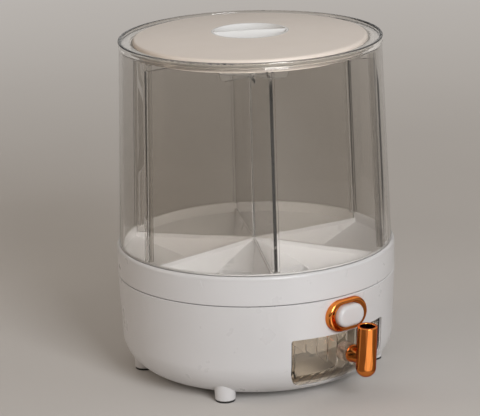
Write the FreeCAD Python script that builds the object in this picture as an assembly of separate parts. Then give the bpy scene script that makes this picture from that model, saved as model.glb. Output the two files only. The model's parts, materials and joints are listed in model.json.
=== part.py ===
import FreeCAD, Part
import math
import os

# Rotating grain dispenser, in millimetres. +Z is up and the outlet faces -Y.
# Everything is modelled about the drum's axis, with the floor at z = 0. The finished solids are
# then moved along Y together, so that the origin lies under the middle of the whole object.

V = FreeCAD.Vector
UP = V(0, 0, 1)
FRONT = -90.0             # direction of the outlet, in degrees from +X
EPS = 0.01                # overlap that lets two tools of one moulding merge
FAR = 300.0               # reach of cutting tools that have to pass everything

# Base casing: a bowl with a nearly straight side and an elliptical foot
base_r = 138.1            # outer radius at its top edge
base_top_z = 102.4
base_draft = 2.6          # its side leans in by this much down to its turn
base_turn_z = 42.0        # height where the side turns into the foot
base_foot_w = 45.0        # the foot's curve runs in by this much
base_bottom_z = 3.7
base_wall = 2.8
base_edge_round = 0.7     # on its top edge

# Outlet window in the base
window_half_w = 57.0
window_bottom_z = 12.0
window_top_z = 66.0
window_bottom_corner = 25.0
window_top_corner = 2.0

# Feet
foot_spread = 24.25       # the feet stand this far outside the flat of the base
foot_angles = {"front_right": 55.0, "front_left": -55.0, "rear_right": 125.0, "rear_left": -125.0}
foot_bottom_r = 9.9
foot_top_r = 11.2
foot_cone_top_z = 26.0
foot_edge_round = 1.0
foot_pad_r = 9.6
foot_pad_t = 1.8
foot_pad_round = 0.5
foot_boss_r = 6.5
foot_boss_top_z = 16.0
foot_screw_reach = 10.0

# Deck that closes the base and carries the drum
deck_t = 3.0
deck_drop = 2.4           # its top lies this far under the base's top edge
deck_gap = 0.25           # between the deck's edge and the base's inside
deck_lug_angles = [0.0, 60.0, 120.0, 180.0, 238.0, 302.0]
deck_lug_w = 9.0
deck_lug_h = 13.0
deck_lug_reach = 13.0
deck_lug_ramp = 4.0       # the lugs are full this far down, and then run out
deck_screw_inset = 7.5    # from the deck's edge to its screws
deck_screw_l = 8.0

# Ring that the drum glides on, and the shaft that it turns on
glide_inner_r = 96.0
glide_w = 8.0
glide_t = 2.0
glide_edge = 0.4
glide_rail_w = 1.5        # rail on the deck that keeps the glide ring in its place
spindle_r = 6.0
spindle_h = 19.0          # above the deck
spindle_edge = 1.2
spindle_collar_r = 12.0
spindle_collar_t = 3.0
spindle_stud_r = 4.0
spindle_stud_end = 1.5    # how far the stud stands out of its nut
spindle_washer_r = 10.0
spindle_washer_t = 1.6
spindle_nut_r = 7.5
spindle_nut_t = 6.5
bush_wall = 3.0
bush_edge = 0.5
bush_gap = 0.4            # between the bush and the shaft's collar
running_fit = 0.05        # radial clearance of the turning fits
seat_fit = 0.05           # radial clearance of the seated pieces

# Turning ring with the funnel floor, one moulding
ring_gap = 0.8            # dark seam between base and ring
ring_h = 29.0             # from its lower edge to the ledge that carries the clear wall
ring_wall = 3.0
ring_shoulder_h = 4.2     # height of the round under the ledge
ring_shoulder_w = 2.1
ring_edge_round = 0.7     # on its lower edge
lip_inset = 4.0           # the lip inside the clear wall stands this far in from the ledge's edge
lip_t = 1.0
lip_h = 1.3
ring_inner_wall_h = 14.2
ring_inner_wall = 2.5
compartments = 6
hub_rise = 0.8            # the funnels' common top lies this far above the ledge
hub_flat_r = 6.0
hub_boss_r = 13.0
hub_boss_gap = 1.5        # between the hub's boss and the height of the glide ring
ridge_slope = 0.044       # the ridges fall by this share of their run
ridge_rib_side = 0.8      # the rib under a plate is this much wider on each side
ridge_rib_h = 6.0
groove_depth = 1.5
groove_fit = 0.1
floor_edge_drop = 8.8     # the floor meets the wall this far under the ledge
floor_drop = 3.0          # height between the floor's top and underside
slot_inner_r = 52.0
slot_w = 12.5
slot_half_l = 17.0
slot_lip_drop = 19.7      # the slots' edges lie this far under the ledge
slot_corner = 3.5
spout_wall = 2.0
spout_gap = 0.4           # running gap between the spouts and the deck
glide_rib_w = 4.0
mark_h = 8.0
mark_half_w = 2.6
mark_depth = 0.35

# Clear drum
drum_h = 204.8            # from the ledge to the rim
wall_flange_t = 2.6
wall_flange_w = 0.8       # the flange is this much wider than the wall
wall_lean = 6.5           # the wall leans in by this much up to its rim
wall_t = 3.0
rim_proud = 0.7
rim_h = 7.0
mouth_shelf_drop = 2.5    # the inward flange round the lid lies this far under the rim
mouth_w = 10.5            # from the wall's outside under the rim to the mouth round the lid
ledge_drop = 3.5          # from the inward flange down to the shelf that the lid lies on
ledge_w = 8.2
ledge_t = 2.5
channel_depth = 5.0
channel_rib_t = 2.0
channel_fit = 0.15
channel_top_gap = 2.0

# Plates between the compartments, and the post where they meet
plate_t = 3.0
plate_top_gap = 8.0       # under the lid's shelf
plate_outer_gap = 0.35
plate_lip_gap = 0.4
post_r = 3.0
post_top_gap = 0.2        # its top lies this far under the plates' notch
post_socket_depth = 4.0
notch_gap = 3.3           # between the finger bowl's underside and the bottom of the notch
notch_bottom_r = 33.0
notch_side_h = 7.8
notch_side_gap = 1.5      # outside the finger bowl's radius

# Lid
lid_gap = 3.4             # between the lid's edge and the mouth
lid_dome = 5.5
lid_t = 3.2
lid_edge_round = 2.8
lid_skirt_gap = 0.6       # inside the shelf
lid_skirt_t = 2.4
lid_skirt_h = 7.5         # below the shelf's top
seal_gap = 1.2            # between the seal and the mouth
seal_t = 2.0
seal_round = 0.6
grip_r = 38.0
grip_wall = 2.0
grip_depth = 35.5         # under the lid's edge
grip_flange_w = 5.0
grip_flange_t = 2.0
grip_fit = 0.15
fin_t = 1.8
fin_angle = -30.0
fin_depth = 22.0

# Drawer and its housing
drawer_gap = 0.8          # round the drawer's front in the window
drawer_recess = 2.3       # its front stands this far behind the base's surface
drawer_behind = 14.0      # it reaches this far behind the outlet slot
drawer_wall = 3.0
drawer_travel = 70.0
flute_pitch = 11.4
flute_depth = 3.2
flute_sunk = 0.6          # a flute's back and its thin edge lie this deep in the wall
flute_points = 14         # points along each of a flute's upright curves
flutes_per_side = 4       # besides the one in the middle
pocket_tip_x = 8.0        # plain patches between the flutes, from here out to the sides
pocket_tip_z = 32.3
pocket_margin = 6.5       # from the window's edge
pocket_top_rise = 0.60    # their upper edge climbs by this share of its run
pocket_top_tooth = 4.0    # each flute's end is cut this much steeper than that
pocket_low_drop = 6.8     # their lower edge falls by this much along each flute
pocket_low_step = 1.4     # and starts each time this much lower
runner_gap = 0.3
housing_wall = 2.4
housing_side_drop = 8.0   # its side walls end this far under the window's top
housing_screw_x = 26.0
housing_screw_ys = [-88.0, -52.0]
housing_screw_l = 4.0
housing_boss_r = 5.0
housing_pad_t = 1.6       # pads under the housing that take its sunk screws

# Handle on the drawer
handle_z = 46.5
handle_boss_r = 9.5
handle_boss_t = 12.0
handle_boss_round = 0.8
neck_r = 7.9
neck_collar_r = 8.5
neck_collar_t = 2.2
neck_collar_round = 0.7
barrel_r = 9.8
barrel_reach = 31.6       # its lower end is this far in front of the drawer's face
barrel_lean_out = 4.0     # and its upper end this much further out
barrel_drop = 18.9        # its lower end is this far under the neck
barrel_rise = 33.1
barrel_bore_r = 7.0
barrel_bore_depth = 40.0
barrel_rim_round = 0.9
handle_screw_r = 2.0
handle_screw_head_r = 4.0
handle_screw_head_h = 2.4
handle_screw_bite = 8.0
handle_screw_hole = 9.5

# Push button in its surround
button_drop = 17.9        # its middle lies this far under the base's top edge
button_half_w = 15.8
button_half_h = 10.8
button_gap = 0.4
button_proud = 5.8        # its face stands this far out of the surround
button_round = 4.0
button_flange_w = 3.0     # the cap's flange is this much wider than the cap at its ends
button_flange_h = 1.2     # and this much higher above and below
button_flange_t = 2.5
button_stem_r = 5.0
button_stem_l = 9.5
button_travel = 11.0
bezel_half_w = 24.0
bezel_half_h = 15.9
bezel_proud = 4.9         # the surround stands this far out of the base's side
bezel_round_out = 2.9
bezel_round_in = 1.5
bezel_neck_wall = 2.2
bezel_neck_depth = 6.8    # its neck ends this far behind the base's surface
bezel_fit = 0.1

# Gate under the deck, moved by the button
gate_t = 2.3
gate_play = 0.3
gate_half_w = 22.0
gate_behind = 7.0         # the gate reaches this far behind the outlet slot
gate_tab_t = 3.0
gate_tab_drop = 17.0
gate_tab_half_w = 9.0
gate_overlap = 1.0        # the closed gate covers the hole by this much
gate_screw_l = 9.0
gate_screw_head_r = 2.4
chute_wall = 2.0
chute_plate_t = 2.2
chute_lead = 17.0         # the gate's tab stands this far in front of the plate
chute_rail_w = 8.0
chute_margin = 1.5        # duct wider than the outlet hole on each side
chute_clear = 1.5         # between the duct's lower end and the drawer's top
chute_screw_l = 5.0
chute_screw_back = 5.0    # the screws' distance from the rails' back ends
chute_screw_front = 20.0
spring_room = 29.0        # from the front of the gate's tab to the spring's seat
spring_seat_t = 2.5
spring_seat_half_w = 9.0
spring_seat_drop = 15.0
spring_turns = 7
spring_mean_r = 4.6
spring_wire_r = 0.45
spring_end_gap = 0.1

# Screws
screw_r = 1.5
screw_head_r = 3.0
screw_head_h = 1.7
screw_hole_fit = 0.1
screw_sunk = 0.2          # how far a sunk head lies under its surface
screw_sink_fit = 0.4      # round a sunk head


def side_radius(z):
    """Outer radius of the base's side above its turn."""
    return base_r - base_draft * (base_top_z - z) / (base_top_z - base_turn_z)


# Radii worked out from the sizes above
base_side_r = side_radius(base_turn_z)
base_foot_r = base_side_r - base_foot_w
foot_circle_r = base_foot_r + foot_spread
glide_outer_r = glide_inner_r + glide_w
ring_r = base_r
ring_ledge_r = ring_r - ring_shoulder_w
lip_outer_r = ring_ledge_r - lip_inset
lip_inner_r = lip_outer_r - lip_t
slot_outer_r = slot_inner_r + slot_w
wall_flange_r = ring_ledge_r
wall_bottom_r = wall_flange_r - wall_flange_w
wall_top_r = wall_bottom_r - wall_lean
mouth_r = wall_top_r - mouth_w
ledge_inner_r = mouth_r - ledge_w
lid_r = mouth_r - lid_gap
lid_skirt_outer_r = ledge_inner_r - lid_skirt_gap
seal_outer_r = mouth_r - seal_gap
notch_side_r = grip_r + notch_side_gap

# Heights
deck_top_z = base_top_z - deck_drop
deck_under_z = deck_top_z - deck_t
glide_top_z = deck_top_z + glide_t
spindle_top_z = deck_top_z + spindle_h
spout_bottom_z = deck_top_z + spout_gap
ring_bottom_z = base_top_z + ring_gap
ring_ledge_z = ring_bottom_z + ring_h
ring_shoulder_z = ring_ledge_z - ring_shoulder_h
mark_top_z = ring_shoulder_z
ring_inner_wall_bottom_z = ring_ledge_z - ring_inner_wall_h
lip_top_z = ring_ledge_z + lip_h
hub_apex_z = ring_ledge_z + hub_rise
floor_edge_z = ring_ledge_z - floor_edge_drop
slot_lip_z = ring_ledge_z - slot_lip_drop
wall_flange_top_z = ring_ledge_z + wall_flange_t
rim_z = ring_ledge_z + drum_h
mouth_shelf_z = rim_z - mouth_shelf_drop
ledge_z = mouth_shelf_z - ledge_drop
ledge_underside_z = ledge_z - ledge_t
lid_edge_z = rim_z
lid_skirt_bottom_z = ledge_z - lid_skirt_h
grip_bottom_z = lid_edge_z - grip_depth
plate_top_z = ledge_underside_z - plate_top_gap
notch_bottom_z = grip_bottom_z - grip_wall - notch_gap
notch_side_z = notch_bottom_z + notch_side_h
post_top_z = notch_bottom_z - post_top_gap
button_z = base_top_z - button_drop
gate_top_z = deck_under_z - gate_play
chute_plate_top_z = gate_top_z - gate_t - gate_play
chute_bottom_z = window_top_z + chute_clear
housing_side_top_z = window_top_z - housing_side_drop
barrel_bottom_z = handle_z - barrel_drop
barrel_top_z = handle_z + barrel_rise

# Places along Y, where the outlet's side is negative
drawer_back_y = drawer_behind - slot_inner_r
drawer_face_y = drawer_recess - side_radius(max(handle_z, base_turn_z))
handle_seat_y = drawer_face_y + drawer_wall
handle_boss_end_y = drawer_face_y - handle_boss_t
barrel_bottom_y = drawer_face_y - barrel_reach
barrel_top_y = barrel_bottom_y - barrel_lean_out
bezel_face_y = -side_radius(button_z) - bezel_proud
button_face_y = bezel_face_y - button_proud
bezel_neck_end_y = bezel_neck_depth - side_radius(button_z)
gate_front_y = bezel_neck_end_y + button_stem_l
gate_back_y = gate_behind - slot_inner_r
chute_front_y = gate_front_y + chute_lead
spring_seat_y = gate_front_y + spring_room

# Slopes, lengths and angles
wall_taper = wall_lean / (rim_z - rim_h - wall_flange_top_z)
barrel_lean = math.degrees(math.atan2(barrel_bottom_y - barrel_top_y, barrel_top_z - barrel_bottom_z))
barrel_length = math.hypot(barrel_bottom_y - barrel_top_y, barrel_top_z - barrel_bottom_z)
plate_angles = [FRONT + 180.0 / compartments + 360.0 / compartments * k for k in range(compartments)]
sector_turns = [360.0 / compartments * k for k in range(compartments)]


def polar(radius, angle, z=0.0):
    """Point at a radius and an angle in degrees about the drum's axis."""
    a = math.radians(angle)
    return V(radius * math.cos(a), radius * math.sin(a), z)


def turned(shape, angle):
    """Copy of a shape turned about the drum's axis."""
    copy = shape.copy()
    copy.rotate(V(0, 0, 0), UP, angle)
    return copy


def polygon(points):
    """Closed flat face through the points."""
    return Part.Face(Part.makePolygon(points + [points[0]]))


def revolve(edges_or_points):
    """Solid of revolution about Z, from (r, z) points or from ready edges in the XZ plane."""
    if isinstance(edges_or_points[0], tuple):
        points = [V(r, 0, z) for r, z in edges_or_points]
        face = polygon(points)
    else:
        face = Part.Face(Part.Wire(Part.__sortEdges__(edges_or_points)))
    return face.revolve(V(0, 0, 0), UP, 360)


def tube(outer, inner, z0, z1):
    """Upright tube about the drum's axis."""
    body = Part.makeCylinder(outer, z1 - z0, V(0, 0, z0))
    return body.cut(Part.makeCylinder(inner, z1 - z0, V(0, 0, z0)))


def cylinder(radius, start, end):
    """Cylinder from one point to another."""
    axis = end - start
    return Part.makeCylinder(radius, axis.Length, start, axis)


def box(x0, x1, y0, y1, z0, z1):
    return Part.makeBox(x1 - x0, y1 - y0, z1 - z0, V(x0, y0, z0))


def line(a, b):
    return Part.LineSegment(a, b).toShape()


def arc(a, b, c):
    return Part.Arc(a, b, c).toShape()


def fuse_all(shapes):
    return shapes[0].multiFuse(shapes[1:]).removeSplitter()


def corner_arc(centre_x, centre_z, radius, from_angle, y):
    """Quarter arc in an XZ plane, from one angle to 90 degrees further."""
    points = []
    for step in (0, 45, 90):
        a = math.radians(from_angle + step)
        points.append(V(centre_x + radius * math.cos(a), y, centre_z + radius * math.sin(a)))
    return arc(*points), points[0], points[2]


def rounded_prism(half_w, z0, z1, low_corner, high_corner, y0, y1):
    """Bar along Y with a rounded outline: low_corner at its bottom, high_corner at its top."""
    corners = [
        corner_arc(half_w - high_corner, z1 - high_corner, high_corner, 0, y0),
        corner_arc(-half_w + high_corner, z1 - high_corner, high_corner, 90, y0),
        corner_arc(-half_w + low_corner, z0 + low_corner, low_corner, 180, y0),
        corner_arc(half_w - low_corner, z0 + low_corner, low_corner, 270, y0),
    ]
    edges = []
    for k, (edge, start, end) in enumerate(corners):
        edges.append(edge)
        following = corners[(k + 1) % 4][1]
        if end.distanceToPoint(following) > EPS:
            edges.append(line(end, following))
    return Part.Face(Part.Wire(edges)).extrude(V(0, y1 - y0, 0))


def obround(half_w, half_h, y0, y1):
    """Bar along Y with half-round ends, centred on the button."""
    reach = half_w - half_h
    top, bottom = button_z + half_h, button_z - half_h
    edges = [
        line(V(-reach, y0, bottom), V(reach, y0, bottom)),
        arc(V(reach, y0, bottom), V(half_w, y0, button_z), V(reach, y0, top)),
        line(V(reach, y0, top), V(-reach, y0, top)),
        arc(V(-reach, y0, top), V(-half_w, y0, button_z), V(-reach, y0, bottom)),
    ]
    return Part.Face(Part.Wire(edges)).extrude(V(0, y1 - y0, 0))


def edges_at(shape, test):
    """Edges whose every vertex passes the test."""
    return [e for e in shape.Edges if e.Vertexes and all(test(v.Point) for v in e.Vertexes)]


def screw(radius, length, head_radius, head_height, place, down):
    """Pan-head screw with a cross recess. place is under the head, down is the way it goes in."""
    head = Part.makeCylinder(head_radius, head_height, V(0, 0, 0))
    head = head.makeFillet(head_height * 0.45, edges_at(head, lambda p: p.z > head_height - EPS))
    blade = head_radius * 0.28
    for half_x, half_y in ((head_radius * 0.6, blade / 2), (blade / 2, head_radius * 0.6)):
        head = head.cut(box(-half_x, half_x, -half_y, half_y, head_height * 0.45, head_height + 1))
    shank = Part.makeCylinder(radius, length, V(0, 0, -length))
    shank = shank.makeChamfer(radius * 0.5, edges_at(shank, lambda p: p.z < -length + EPS))
    body = head.fuse(shank).removeSplitter()
    body.Placement = FreeCAD.Placement(place, FreeCAD.Rotation(UP, down * -1))
    return body


def base_profile(inset):
    """Edges of the base's outline, closed to the axis, moved inwards by inset."""
    top = V(base_r - inset, 0, base_top_z)
    turn = V(base_side_r - inset, 0, base_turn_z)
    foot = V(base_foot_r, 0, base_bottom_z + inset)
    across = base_side_r - base_foot_r - inset
    height = base_turn_z - base_bottom_z - inset
    if across >= height:
        ellipse = Part.Ellipse(V(base_foot_r + across, 0, base_turn_z), foot, V(base_foot_r, 0, base_turn_z))
    else:
        ellipse = Part.Ellipse(foot, V(base_foot_r + across, 0, base_turn_z), V(base_foot_r, 0, base_turn_z))
    start, end = sorted((ellipse.parameter(foot), ellipse.parameter(turn)))
    if end - start > math.pi:
        start, end = end, start + 2 * math.pi
    curve = Part.ArcOfEllipse(ellipse, start, end).toShape()
    axis_top = V(0, 0, base_top_z)
    axis_foot = V(0, 0, base_bottom_z + inset)
    return [line(axis_top, top), line(top, turn), curve, line(foot, axis_foot), line(axis_foot, axis_top)]


def base_solid(inset):
    """The base's outline as a filled solid, moved inwards by inset."""
    return revolve(base_profile(inset))


def window_prism(gap, y0, y1):
    """Bar with the window's outline, smaller all round by gap."""
    return rounded_prism(
        window_half_w - gap, window_bottom_z + gap, window_top_z - gap,
        window_bottom_corner - gap, max(window_top_corner - gap, 0.6), y0, y1,
    )


def foot_place(name):
    return polar(foot_circle_r, FRONT + foot_angles[name])


def deck_screw_places():
    radius = side_radius(deck_top_z) - base_wall - deck_gap - deck_screw_inset
    return [polar(radius, a, deck_top_z) for a in deck_lug_angles]


def housing_floor_z():
    """Top of the floor that the drawer runs on."""
    return window_bottom_z + drawer_gap - runner_gap


def housing_pad_z():
    """Underside of the pads that the drawer's housing stands on."""
    return housing_floor_z() - housing_wall - housing_pad_t


def housing_screw_places():
    seat_z = housing_floor_z() - screw_sunk - screw_head_h
    return [V(side * housing_screw_x, y, seat_z) for y in housing_screw_ys for side in (-1, 1)]


def make_base_shell():
    outer = base_solid(0)
    top_edge = edges_at(outer, lambda p: p.z > base_top_z - EPS and math.hypot(p.x, p.y) > EPS)
    outer = outer.makeFillet(base_edge_round, top_edge)
    shell = outer.cut(base_solid(base_wall))
    lugs = []
    lug_r = base_side_r - deck_lug_reach
    for angle in deck_lug_angles:
        lug = box(lug_r, base_r, -deck_lug_w / 2, deck_lug_w / 2,
                  deck_under_z - deck_lug_h, deck_under_z)
        ramp = polygon([
            V(lug_r - 1, -deck_lug_w, deck_under_z - deck_lug_ramp),
            V(base_side_r, -deck_lug_w, deck_under_z - deck_lug_h - 1),
            V(lug_r - 1, -deck_lug_w, deck_under_z - deck_lug_h - 1),
        ]).extrude(V(0, 2 * deck_lug_w, 0))
        lugs.append(turned(lug.cut(ramp), angle))
    bosses = []
    for name in foot_angles:
        place = foot_place(name)
        bosses.append(Part.makeCylinder(foot_boss_r, foot_boss_top_z, V(place.x, place.y, 0)))
    for place in housing_screw_places():
        bosses.append(Part.makeCylinder(housing_boss_r, housing_pad_z(), V(place.x, place.y, 0)))
    inside = Part.makeCompound(lugs + bosses).common(outer)
    shell = fuse_all([shell] + inside.Solids)
    shell = shell.cut(window_prism(0, -base_r - 5, -base_foot_r + 15))
    hole = obround(button_half_w + button_gap + bezel_neck_wall + bezel_fit,
                   button_half_h + button_gap + bezel_neck_wall + bezel_fit, -base_r - 5, -base_foot_r)
    shell = shell.cut(hole)
    for place in deck_screw_places():
        hole_l = deck_screw_l + 1
        shell = shell.cut(Part.makeCylinder(screw_r, hole_l, V(place.x, place.y, deck_under_z - hole_l)))
    for name in foot_angles:
        place = foot_place(name)
        shell = shell.cut(Part.makeCylinder(screw_r + screw_hole_fit, foot_boss_top_z + 1, V(place.x, place.y, 0)))
    for place in housing_screw_places():
        depth = housing_pad_z() - base_bottom_z - 1
        shell = shell.cut(Part.makeCylinder(screw_r, depth, V(place.x, place.y, housing_pad_z() - depth)))
    return shell


def make_foot(name):
    place = foot_place(name)
    cone = Part.makeCone(foot_bottom_r, foot_top_r, foot_cone_top_z - foot_pad_t, V(place.x, place.y, foot_pad_t))
    cone = cone.makeFillet(foot_edge_round, edges_at(cone, lambda p: p.z < foot_pad_t + EPS))
    foot = cone.cut(base_solid(0))
    screw_end = foot_boss_top_z - foot_screw_reach
    return foot.cut(Part.makeCylinder(screw_r, FAR, V(place.x, place.y, screw_end)))


def make_foot_pad(name):
    place = foot_place(name)
    pad = Part.makeCylinder(foot_pad_r, foot_pad_t, V(place.x, place.y, 0))
    return pad.makeFillet(foot_pad_round, edges_at(pad, lambda p: p.z < EPS))


def make_foot_screws():
    screws = []
    for name in foot_angles:
        place = foot_place(name)
        screws.append(screw(screw_r, foot_screw_reach, screw_head_r, screw_head_h,
                            V(place.x, place.y, foot_boss_top_z), V(0, 0, -1)))
    return Part.makeCompound(screws)


def outlet_hole(z0, z1, inset):
    """Upright bar with the outline of one slot on the outlet's side."""
    hole = box(-slot_half_l + inset, slot_half_l - inset, -slot_outer_r + inset, -slot_inner_r - inset, z0, z1)
    upright = [e for e in hole.Edges if abs(e.Vertexes[0].Z - e.Vertexes[1].Z) > EPS]
    return hole.makeFillet(slot_corner, upright)


def make_base_deck():
    radius = side_radius(deck_under_z) - base_wall - deck_gap
    deck = Part.makeCylinder(radius, deck_t, V(0, 0, deck_under_z))
    deck = deck.cut(Part.makeCylinder(spindle_stud_r + seat_fit, deck_t, V(0, 0, deck_under_z)))
    deck = deck.cut(outlet_hole(deck_under_z, deck_top_z, 0))
    for place in deck_screw_places():
        deck = deck.cut(Part.makeCylinder(screw_r + screw_hole_fit, deck_t, V(place.x, place.y, deck_under_z)))
    for place in chute_screw_places():
        deck = deck.cut(Part.makeCylinder(screw_r + screw_hole_fit, deck_t, V(place.x, place.y, deck_under_z)))
        deck = deck.cut(Part.makeCylinder(screw_head_r + screw_sink_fit, deck_t, place))
    room_w = button_half_w + button_gap + bezel_neck_wall + deck_gap
    deck = deck.cut(box(-room_w, room_w, -base_r, bezel_neck_end_y + deck_gap, 0, FAR))
    rail_r = glide_inner_r - seat_fit
    rail = tube(rail_r, rail_r - glide_rail_w, deck_top_z - EPS, deck_top_z + glide_t / 2)
    return deck.fuse(rail).removeSplitter()


def make_deck_screws():
    return Part.makeCompound([
        screw(screw_r, deck_screw_l, screw_head_r, screw_head_h, place, V(0, 0, -1)) for place in deck_screw_places()
    ])


def make_glide_ring():
    ring = tube(glide_outer_r, glide_inner_r, deck_top_z, glide_top_z)
    return ring.makeChamfer(glide_edge, edges_at(ring, lambda p: p.z > glide_top_z - EPS))


def make_spindle():
    collar_top = deck_top_z + spindle_collar_t
    stud_bottom = deck_under_z - spindle_washer_t - spindle_nut_t - spindle_stud_end
    shaft = Part.makeCylinder(spindle_r, spindle_top_z - deck_top_z, V(0, 0, deck_top_z))
    shaft = shaft.makeChamfer(spindle_edge, edges_at(shaft, lambda p: p.z > spindle_top_z - EPS))
    collar = Part.makeCylinder(spindle_collar_r, collar_top - deck_top_z, V(0, 0, deck_top_z))
    stud = Part.makeCylinder(spindle_stud_r, deck_top_z - stud_bottom + EPS, V(0, 0, stud_bottom))
    return fuse_all([shaft, collar, stud])


def make_spindle_washer():
    top = deck_under_z
    return tube(spindle_washer_r, spindle_stud_r + seat_fit, top - spindle_washer_t, top)


def make_spindle_nut():
    top = deck_under_z - spindle_washer_t
    corners = [polar(spindle_nut_r, 60 * k, top - spindle_nut_t) for k in range(6)]
    nut = polygon(corners).extrude(V(0, 0, spindle_nut_t))
    return nut.cut(Part.makeCylinder(spindle_stud_r + seat_fit, spindle_nut_t, V(0, 0, top - spindle_nut_t)))


def above_plane(z_at_axis, slope_x, slope_y):
    """Everything above the plane z = z_at_axis + slope_x x + slope_y y."""
    corners = []
    for x, y in ((-FAR, -FAR), (FAR, -FAR), (FAR, FAR), (-FAR, FAR)):
        corners.append(V(x, y, z_at_axis + slope_x * x + slope_y * y))
    return polygon(corners).extrude(V(0, 0, 3 * FAR))


def ridge_z(radius):
    """Height of the ridge under a plate."""
    return hub_apex_z - ridge_slope * radius


def funnel(radius, drop):
    """Space over one compartment's funnel facets, on the outlet's side, lowered by drop."""
    half = math.radians(180.0 / compartments)
    inner_slope = (hub_apex_z - slot_lip_z) / slot_inner_r
    # The side facet holds the ridge's line and the end of the slot's lip
    fall = hub_apex_z - slot_lip_z
    side_x = (ridge_slope * slot_inner_r / math.cos(half) - fall) / (slot_half_l - slot_inner_r * math.tan(half))
    side_out = -side_x * math.tan(half) - ridge_slope / math.cos(half)
    slot_outer_z = hub_apex_z - inner_slope * slot_outer_r
    cone_slope = (floor_edge_z - slot_outer_z) / (lip_inner_r - slot_outer_r)
    cone_apex_z = floor_edge_z - cone_slope * lip_inner_r
    reach = 2 * FAR
    wedge = polygon([
        V(0, 0, 0), V(-reach * math.sin(half), -reach * math.cos(half), 0),
        V(reach * math.sin(half), -reach * math.cos(half), 0),
    ]).extrude(V(0, 0, FAR))
    space = wedge.common(Part.makeCylinder(radius, lip_top_z + EPS, V(0, 0, 0)))
    space = space.common(Part.makeCone(0, FAR, FAR * cone_slope, V(0, 0, cone_apex_z - drop)))
    space = space.common(above_plane(hub_apex_z - drop, 0, inner_slope))
    space = space.common(above_plane(hub_apex_z - drop, side_x, -side_out))
    return space.common(above_plane(hub_apex_z - drop, -side_x, -side_out))


def make_hopper():
    edge_low = V(ring_r - ring_edge_round, 0, ring_bottom_z)
    edge_high = V(ring_r, 0, ring_bottom_z + ring_edge_round)
    share = ring_edge_round * (1 - math.cos(math.radians(45)))
    edge_mid = V(ring_r - share, 0, ring_bottom_z + share)
    shoulder = V(ring_r, 0, ring_shoulder_z)
    top = V(ring_ledge_r, 0, ring_ledge_z)
    across, height = ring_r - ring_ledge_r, ring_ledge_z - ring_shoulder_z
    middle = V(ring_ledge_r + across * math.cos(math.radians(50)), 0,
               ring_shoulder_z + height * math.sin(math.radians(50)))
    inner_wall_r = lip_inner_r + ring_inner_wall
    web_z = ring_ledge_z - ring_wall
    points = [
        top, V(lip_outer_r, 0, ring_ledge_z), V(lip_outer_r, 0, lip_top_z), V(lip_inner_r, 0, lip_top_z),
        V(lip_inner_r, 0, ring_inner_wall_bottom_z), V(inner_wall_r, 0, ring_inner_wall_bottom_z),
        V(inner_wall_r, 0, web_z - 1), V(ring_r - ring_wall, 0, web_z - 1), V(ring_r - ring_wall, 0, ring_bottom_z),
        edge_low,
    ]
    edges = [line(points[k], points[k + 1]) for k in range(len(points) - 1)]
    edges += [arc(edge_low, edge_mid, edge_high), line(edge_high, shoulder), arc(shoulder, middle, top)]
    ring = revolve(edges)
    glide_mid_r = (glide_inner_r + glide_outer_r) / 2
    solids = [ring]
    solids.append(tube(glide_mid_r + glide_rib_w / 2, glide_mid_r - glide_rib_w / 2, glide_top_z, hub_apex_z))
    boss_bottom_z = glide_top_z + hub_boss_gap
    solids.append(Part.makeCylinder(hub_boss_r, hub_apex_z - boss_bottom_z, V(0, 0, boss_bottom_z)))
    funnel_space = funnel(lip_inner_r, 0)
    skin = funnel(lip_inner_r + 1.0, floor_drop).cut(funnel_space)
    spout = box(-slot_half_l - spout_wall, slot_half_l + spout_wall, -slot_outer_r - spout_wall,
                -slot_inner_r + spout_wall, spout_bottom_z, slot_lip_z)
    for angle in sector_turns:
        solids.append(turned(skin, angle))
        solids.append(turned(spout, angle))
    body = fuse_all(solids)
    for angle in sector_turns:
        body = body.cut(turned(funnel_space, angle))
    rib_half = plate_t / 2 + ridge_rib_side
    groove_half = plate_t / 2 + groove_fit
    ribs = [Part.makeCylinder(hub_flat_r, ridge_rib_h, V(0, 0, hub_apex_z - ridge_rib_h))]
    grooves = []
    for angle in plate_angles:
        reach = lip_inner_r + 0.5
        rib = polygon([
            V(0, -rib_half, ridge_z(0) - ridge_rib_h), V(reach, -rib_half, ridge_z(reach) - ridge_rib_h),
            V(reach, -rib_half, ridge_z(reach)), V(0, -rib_half, ridge_z(0)),
        ]).extrude(V(0, 2 * rib_half, 0))
        ribs.append(turned(rib, angle))
        groove = polygon([
            V(post_r, -groove_half, ridge_z(post_r) - groove_depth),
            V(lip_inner_r, -groove_half, ridge_z(lip_inner_r) - groove_depth),
            V(lip_inner_r, -groove_half, lip_top_z), V(post_r, -groove_half, lip_top_z),
        ]).extrude(V(0, 2 * groove_half, 0))
        grooves.append(turned(groove, angle))
    body = fuse_all([body] + ribs)
    body = body.cut(Part.makeCompound(grooves))
    socket = Part.makeCylinder(post_r + seat_fit, post_socket_depth + 5, V(0, 0, hub_apex_z - post_socket_depth))
    bore_r = spindle_r + running_fit + bush_wall + seat_fit
    bore = Part.makeCylinder(bore_r, spindle_top_z + 1 - glide_top_z, V(0, 0, glide_top_z))
    body = body.cut(socket).cut(bore)
    for angle in sector_turns:
        body = body.cut(turned(outlet_hole(spout_bottom_z - 1, slot_lip_z + 5, 0), angle))
        mark = polygon([
            V(-mark_half_w, -ring_r + mark_depth, mark_top_z), V(mark_half_w, -ring_r + mark_depth, mark_top_z),
            V(0, -ring_r + mark_depth, mark_top_z - mark_h),
        ]).extrude(V(0, -3, 0))
        body = body.cut(turned(mark, angle))
    return body


def make_hub_bush():
    inner = spindle_r + running_fit
    bottom = deck_top_z + spindle_collar_t + bush_gap
    bush = tube(inner + bush_wall, inner, bottom, spindle_top_z)
    return bush.makeChamfer(bush_edge, edges_at(bush, lambda p: math.hypot(p.x, p.y) > inner + 1))


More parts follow.
